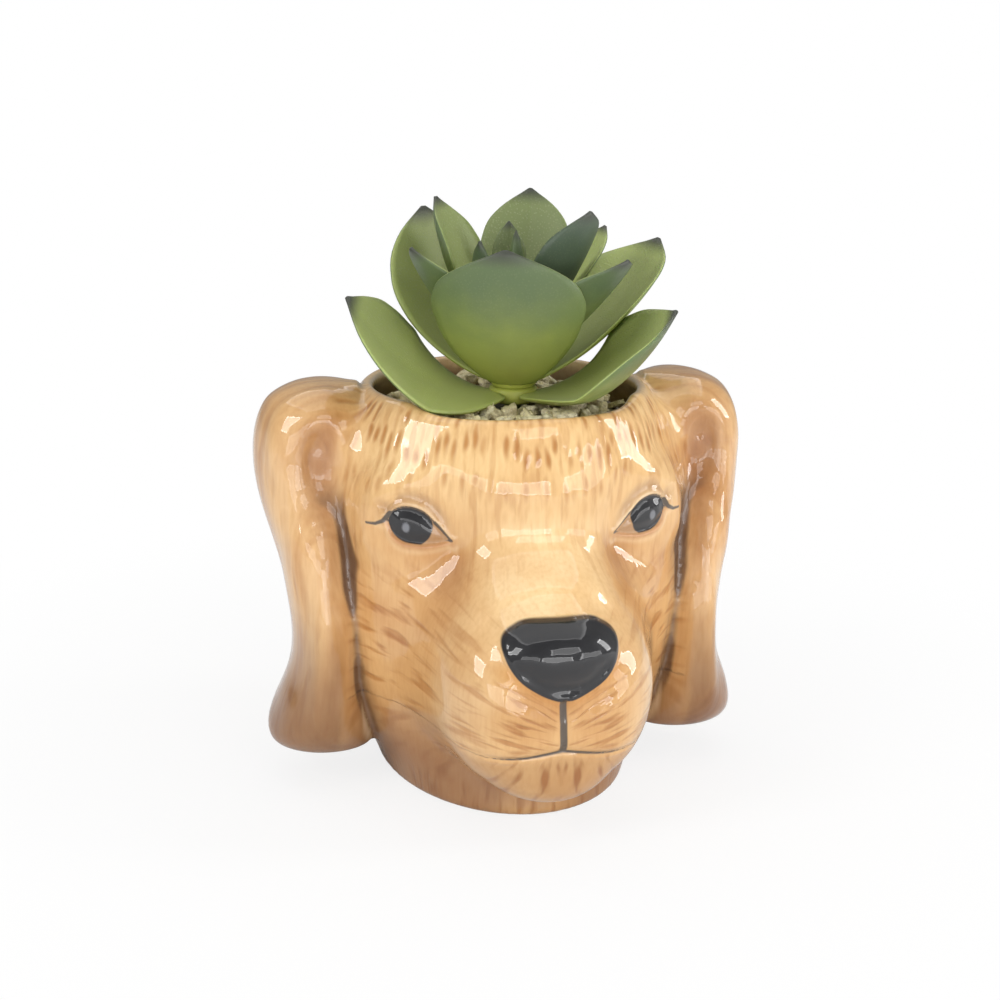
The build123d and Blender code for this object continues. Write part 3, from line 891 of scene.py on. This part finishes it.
def wire_material():
    """Drawn steel wire with fine lengthwise lines."""
    shader = Shader("drawn_wire")
    lines = shader.noise(1.0, shader.place((6000.0, 6000.0, 90.0)), detail=2.0)
    colour = shader.mix(lines, rgba(0.42, 0.42, 0.43), rgba(0.62, 0.62, 0.63))
    shader.set(Base_Color=colour, Metallic=1.0, Roughness=shader.ramp(lines, 0.2, 0.8, 0.28, 0.45))
    return shader.material


def stem_material():
    """Green moulded stalk with faint mould lines."""
    shader = Shader("stem_plastic")
    lines = shader.noise(1.0, shader.place((700.0, 700.0, 60.0)), detail=3.0)
    colour = shader.mix(lines, rgba(0.25, 0.31, 0.075), rgba(0.16, 0.22, 0.06))
    shader.set(Base_Color=colour, Normal=shader.bump(lines, 0.0001), Roughness=0.5)
    return shader.material


# Plant

def leaf_arrays(heading, root_lean, roll, root_radius, root_height, tip_radius, tip_height,
                half_width, cup, tone):
    """Points, faces and values of one closed leaf, with its inner face first."""
    turn = math.radians(heading)
    outward = np.array([math.cos(turn), math.sin(turn), 0.0])
    across = np.array([-math.sin(turn), math.cos(turn), 0.0])
    upward = np.array([0.0, 0.0, 1.0])
    axis = np.array([plant_offset, 0.0, 0.0])
    root = axis + outward * root_radius + upward * root_height
    tip = axis + outward * tip_radius + upward * tip_height
    reach = np.linalg.norm(tip - root) * midrib_handle_share
    lean = math.radians(root_lean)
    handle = root + (outward * math.cos(lean) + upward * math.sin(lean)) * reach

    share = np.linspace(0, 1, leaf_rows)[:, None]
    column = np.linspace(-1, 1, leaf_columns)[None, :]
    stations = np.array(leaf_station_shares)
    width = half_width * np.maximum(curve(share, stations[:, [0, 1]]), 0.015)
    rise = width * cup * curve(share, stations[:, [0, 2]])
    thick = leaf_thickness * curve(share, stations[:, [0, 3]]) / 2
    edge = leaf_edge * curve(share, stations[:, [0, 3]]) / 2

    rest = 1 - share
    middle = root * rest**2 + handle * (2 * rest * share) + tip * share**2
    along = (handle - root) * rest + (tip - handle) * share
    along /= np.linalg.norm(along, axis=1)[:, None]
    level = np.cross(along, across)
    rolled = math.radians(roll) * np.minimum(1, share / roll_start_share)
    beside = across * np.cos(rolled) + level * np.sin(rolled)
    over = level * np.cos(rolled) - across * np.sin(rolled)

    # Soft waves along the margin, a crease down the inner face and a mould line down the outer one
    wave = margin_wave * np.sin(7.5 * share + 0.05 * heading) * column**2 * np.sign(column)
    wave = wave * np.sin(math.pi * share)
    crease = crease_depth * bell(column, 0.10) * ramp(share, 0.25, 0.5) * ramp(-share, -0.99, -0.85)
    seam = seam_depth * bell(column, 0.05) * ramp(-share, -0.75, -0.45)
    inner = thick + (rise + edge - thick) * column**2 + wave - crease
    outer = -thick + (rise - edge + thick) * column**2 + wave - seam
    points = []
    for height in (inner, outer):
        points.append(middle[:, None, :] + beside[:, None, :] * (width * column)[..., None]
                      + over[:, None, :] * height[..., None])
    count = leaf_rows * leaf_columns
    values = np.concatenate([
        np.stack([np.broadcast_to(share, inner.shape), np.broadcast_to(column, inner.shape),
                  np.full(inner.shape, face)], -1).reshape(-1, 3)
        for face in (1.0, -1.0)
    ])

    def index(face, row, place):
        return face * count + row * leaf_columns + place

    faces = []
    last = leaf_columns - 1
    for row in range(leaf_rows - 1):
        for place in range(last):
            faces.append([index(0, row, place), index(0, row + 1, place),
                          index(0, row + 1, place + 1), index(0, row, place + 1)])
            faces.append([index(1, row, place), index(1, row, place + 1),
                          index(1, row + 1, place + 1), index(1, row + 1, place)])
        faces.append([index(0, row, 0), index(1, row, 0), index(1, row + 1, 0), index(0, row + 1, 0)])
        faces.append([index(0, row, last), index(0, row + 1, last),
                      index(1, row + 1, last), index(1, row, last)])
    for row, flip in ((0, 1), (leaf_rows - 1, -1)):
        for place in range(last):
            faces.append([index(0, row, place), index(0, row, place + 1),
                          index(1, row, place + 1), index(1, row, place)][::flip])
    return np.concatenate([part.reshape(-1, 3) for part in points]), faces, values, np.full(2 * count, tone)


def lathe(profile, segments=40):
    """Points and faces of a closed ring or cap turned about the plant's axis."""
    turns = np.linspace(0, 2 * math.pi, segments, endpoint=False)
    points = []
    for turn in turns:
        for radius, height in profile:
            points.append((plant_offset + radius * math.cos(turn), radius * math.sin(turn), height))
    count = len(profile)
    faces = []
    for step in range(segments):
        following = (step + 1) % segments
        for place in range(count):
            beyond = (place + 1) % count
            faces.append([step * count + place, following * count + place,
                          following * count + beyond, step * count + beyond])
    return np.array(points), faces


def join(parts):
    """One set of points, faces and values from several."""
    points, faces, values, tones = [], [], [], []
    start = 0
    for part_points, part_faces, part_values, part_tones in parts:
        points.append(part_points)
        faces += [[start + corner for corner in face] for face in part_faces]
        values.append(part_values)
        tones.append(part_tones)
        start += len(part_points)
    return np.concatenate(points), faces, {"leaf": np.concatenate(values), "tone": np.concatenate(tones)}


def build_whorl(level, name, leaves):
    hub_bottom = stack_bottom + hub_height * level
    radius = hub_radius + (hub_top_radius - hub_radius) * level / (len(whorl_leaf_shares) - 1)
    hub_points, hub_faces = lathe([
        (hub_bore, hub_bottom), (radius - hub_round, hub_bottom), (radius, hub_bottom + hub_round),
        (radius, hub_bottom + hub_height - hub_round), (radius - hub_round, hub_bottom + hub_height),
        (hub_bore, hub_bottom + hub_height),
    ])
    count = len(hub_points)
    parts = [(hub_points, hub_faces, np.tile([0.0, 0.0, -1.0], (count, 1)), np.zeros(count))]
    for shares, tone in zip(leaves, whorl_leaf_shade[level]):
        heading, lean, roll, radius_share, height_share, width_share, cup = shares
        parts.append(leaf_arrays(
            heading, lean, roll, radius - leaf_thickness / 2, hub_bottom + hub_height / 2,
            rosette_radius * radius_share, stack_bottom + rosette_height * height_share,
            leaf_half_width * width_share, cup, tone,
        ))
    points, faces, attributes = join(parts)
    return mesh_piece(name + "_leaves", points, faces, attributes)


def build_bud():
    """The closed heart: a pointed cap of three folded scales."""
    bottom = stack_bottom + hub_height * len(whorl_leaf_shares)
    points, faces = lathe([(radius, bottom + height) for radius, height in bud_profile], 48)
    share = (points[:, 2] - bottom) / bud_height
    turn = np.arctan2(points[:, 1], points[:, 0] - plant_offset)
    pinch = 1 - 0.16 * ramp(share, 0.15, 0.5) * np.abs(np.cos(1.5 * turn + 2.0 * share))
    points[:, 0] = plant_offset + (points[:, 0] - plant_offset) * pinch
    points[:, 1] *= pinch
    values = np.stack([0.35 + 0.65 * share, np.zeros(len(points)), np.full(len(points), -1.0)], 1)
    return mesh_piece("bud_scales", points, faces, {"leaf": values, "tone": np.full(len(points), 0.15)})


# Bark

def build_bark():
    """Broken crumbs: rounded blocks of uneven size, turned and heaped by a seeded draw."""
    draw = np.random.RandomState(crumb_seed)
    block = bmesh.new()
    bmesh.ops.create_cube(block, size=2.0)
    bmesh.ops.subdivide_edges(block, edges=block.edges[:], cuts=3, use_grid_fill=True)
    block.verts.ensure_lookup_table()
    shape = np.array([vertex.co[:] for vertex in block.verts])
    shape_faces = [[vertex.index for vertex in face.verts] for face in block.faces]
    block.free()
    shape *= (0.62 + 0.38 / np.linalg.norm(shape, axis=1))[:, None]

    points, faces, tones = [], [], []
    for number in range(crumb_count):
        length = draw.uniform(*crumb_length) / 2
        width = length * draw.uniform(*crumb_width_share)
        height = width * draw.uniform(0.6, 1.0)
        radius = math.sqrt(draw.uniform(crumb_inner**2, crumb_outer**2))
        turn = draw.uniform(0, 2 * math.pi)
        phase = draw.uniform(0, 6, 3)
        ripple = (np.sin(3.1 * shape[:, [1]] + phase[0]) + np.sin(4.3 * shape[:, [2]] + phase[1])
                  + np.sin(5.2 * shape[:, [0]] + phase[2]))
        crumb = shape * (1 + 0.11 * ripple) * np.array([width, length, height])
        tip = Matrix.Rotation(draw.uniform(-0.5, 0.5), 3, "X")
        tip = tip @ Matrix.Rotation(draw.uniform(-0.4, 0.4), 3, "Y")
        spin = Matrix.Rotation(draw.uniform(0, 2 * math.pi), 3, "Z")
        crumb = crumb @ np.array(spin @ tip).T
        heap = crumb_heap[0] + (crumb_heap[1] - crumb_heap[0]) * (radius / crumb_outer)**2
        lift = plug_top + height * 0.8 + draw.uniform(0, 1) * max(heap - height, 0)
        reach = np.array([plant_offset * (1 - radius / crumb_outer), 0, 0])
        crumb = crumb + reach + np.array([radius * math.cos(turn), radius * math.sin(turn), lift])
        crumb[:, 2] = np.maximum(crumb[:, 2], plug_top)
        faces += [[len(shape) * number + corner for corner in face] for face in shape_faces]
        points.append(crumb)
        tones.append(np.full(len(shape), draw.uniform(0, 1)))
    return mesh_piece("bark_crumbs", np.concatenate(points), faces, {"tone": np.concatenate(tones)})


# Stage

def build_floor():
    """A wide pale floor that keeps the planter's shadow and shows white to the camera."""
    side = floor_half_width
    mesh = bpy.data.meshes.new("floor")
    corners = [(-side, -side, 0), (side, -side, 0), (side, side, 0), (-side, side, 0)]
    mesh.from_pydata(corners, [], [(0, 1, 2, 3)])
    floor = link(bpy.data.objects.new("floor", mesh))
    floor.location.z = -floor_drop
    shader = Shader("pale_floor")
    shader.set(Base_Color=rgba(0.86, 0.86, 0.86), Roughness=0.9)
    glow = shader.node("Emission", {"Color": rgba(1, 1, 1), "Strength": 1.0})[0]
    path = shader.node("LightPath")
    seen = path["Is Camera Ray"]
    away = shader.node("VectorMath", {0: shader.place((1, 1, 1))}, operation="LENGTH")["Value"]
    seen = shader.math("MULTIPLY", seen, shader.ramp(away, *glow_reach, *glow_share))
    shown = shader.node("MixShader", {0: seen, 1: shader.surface.outputs[0], 2: glow})[0]
    shader.tree.links.new(shown, shader.tree.nodes["Material Output"].inputs["Surface"])
    mesh.materials.append(shader.material)


def build_world():
    """Even light from all round, white where the camera sees it."""
    world = bpy.data.worlds.new("studio")
    bpy.context.scene.world = world
    world.use_nodes = True
    tree = world.node_tree
    around = tree.nodes["Background"]
    around.inputs["Color"].default_value = rgba(1, 1, 1)
    around.inputs["Strength"].default_value = room_light
    white = tree.nodes.new("ShaderNodeBackground")
    white.inputs["Color"].default_value = rgba(1, 1, 1)
    white.inputs["Strength"].default_value = 1.0
    path = tree.nodes.new("ShaderNodeLightPath")
    mixed = tree.nodes.new("ShaderNodeMixShader")
    tree.links.new(path.outputs["Is Camera Ray"], mixed.inputs[0])
    tree.links.new(around.outputs[0], mixed.inputs[1])
    tree.links.new(white.outputs[0], mixed.inputs[2])
    tree.links.new(mixed.outputs[0], tree.nodes["World Output"].inputs["Surface"])


def add_lamp(name, place, aim, size, power):
    """A soft box at a place in millimetres, turned towards an aim."""
    lamp = bpy.data.lights.new(name, "AREA")
    lamp.shape = "RECTANGLE"
    lamp.size, lamp.size_y = size[0] * MM, size[1] * MM
    lamp.energy = power
    box = link(bpy.data.objects.new(name, lamp))
    box.location = Vector(place) * MM
    direction = Vector(aim) * MM - box.location
    box.rotation_euler = direction.to_track_quat("-Z", "Y").to_euler()

    # A brighter edge round each box, as a window's frame of light
    lamp.use_nodes = True
    tree = lamp.node_tree
    place = tree.nodes.new("ShaderNodeSeparateXYZ")
    tree.links.new(tree.nodes.new("ShaderNodeNewGeometry").outputs["Parametric"], place.inputs[0])
    beside = [tree.nodes.new("ShaderNodeMath") for _ in range(2)]
    for axis, node in enumerate(beside):
        node.operation = "PINGPONG"
        node.inputs[1].default_value = 0.5
        tree.links.new(place.outputs[axis], node.inputs[0])
    inset = tree.nodes.new("ShaderNodeMath")
    inset.operation = "MINIMUM"
    tree.links.new(beside[0].outputs[0], inset.inputs[0])
    tree.links.new(beside[1].outputs[0], inset.inputs[1])
    glow = tree.nodes.new("ShaderNodeMapRange")
    for key, value in (("From Min", 0.03), ("From Max", 0.08), ("To Min", 2.0), ("To Max", 0.8)):
        glow.inputs[key].default_value = value
    tree.links.new(inset.outputs[0], glow.inputs["Value"])
    tree.links.new(glow.outputs["Result"], tree.nodes["Emission"].inputs["Strength"])


def build_camera():
    ahead = Vector((-math.sin(camera_yaw) * math.cos(camera_pitch),
                    math.cos(camera_yaw) * math.cos(camera_pitch), -math.sin(camera_pitch)))
    right = Vector((math.cos(camera_yaw), math.sin(camera_yaw), 0))
    up = right.cross(ahead)
    place = Vector((0, 0, camera_aim[1])) - ahead * camera_distance + right * camera_aim[0]
    turned_right = right * math.cos(camera_roll) + up * math.sin(camera_roll)
    turned_up = up * math.cos(camera_roll) - right * math.sin(camera_roll)
    data = bpy.data.cameras.new("photograph")
    data.sensor_width = sensor_width
    data.lens = focal_length
    data.clip_start = 0.01
    camera = link(bpy.data.objects.new("photograph", data))
    axes = Matrix((turned_right, turned_up, -ahead)).transposed().to_4x4()
    camera.matrix_world = Matrix.Translation(place * MM) @ axes
    bpy.context.scene.camera = camera


# Pieces on their bodies

def dress(piece, material, body, node):
    piece.data.materials.append(material)
    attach(piece, body)
    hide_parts(node)


def repaint(node, material):
    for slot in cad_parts[node].material_slots:
        slot.material = material


dress(build_head(), glaze_material(), "pot", "ceramic_pot")
leaf_plastic = leaf_material()
for level, (name, leaves) in enumerate(whorl_leaf_shares):
    dress(build_whorl(level, name, leaves), leaf_plastic, "plant_insert", name)
dress(build_bud(), leaf_plastic, "plant_insert", "bud")
dress(build_bark(), bark_material(), "plant_insert", "bark_topping")
repaint("foam_plug", foam_material())
repaint("stem", stem_material())
repaint("stem_wire", wire_material())

build_floor()
build_world()
for lamp in lamps:
    add_lamp(*lamp)
build_camera()
bpy.context.scene.view_settings.view_transform = "Standard"
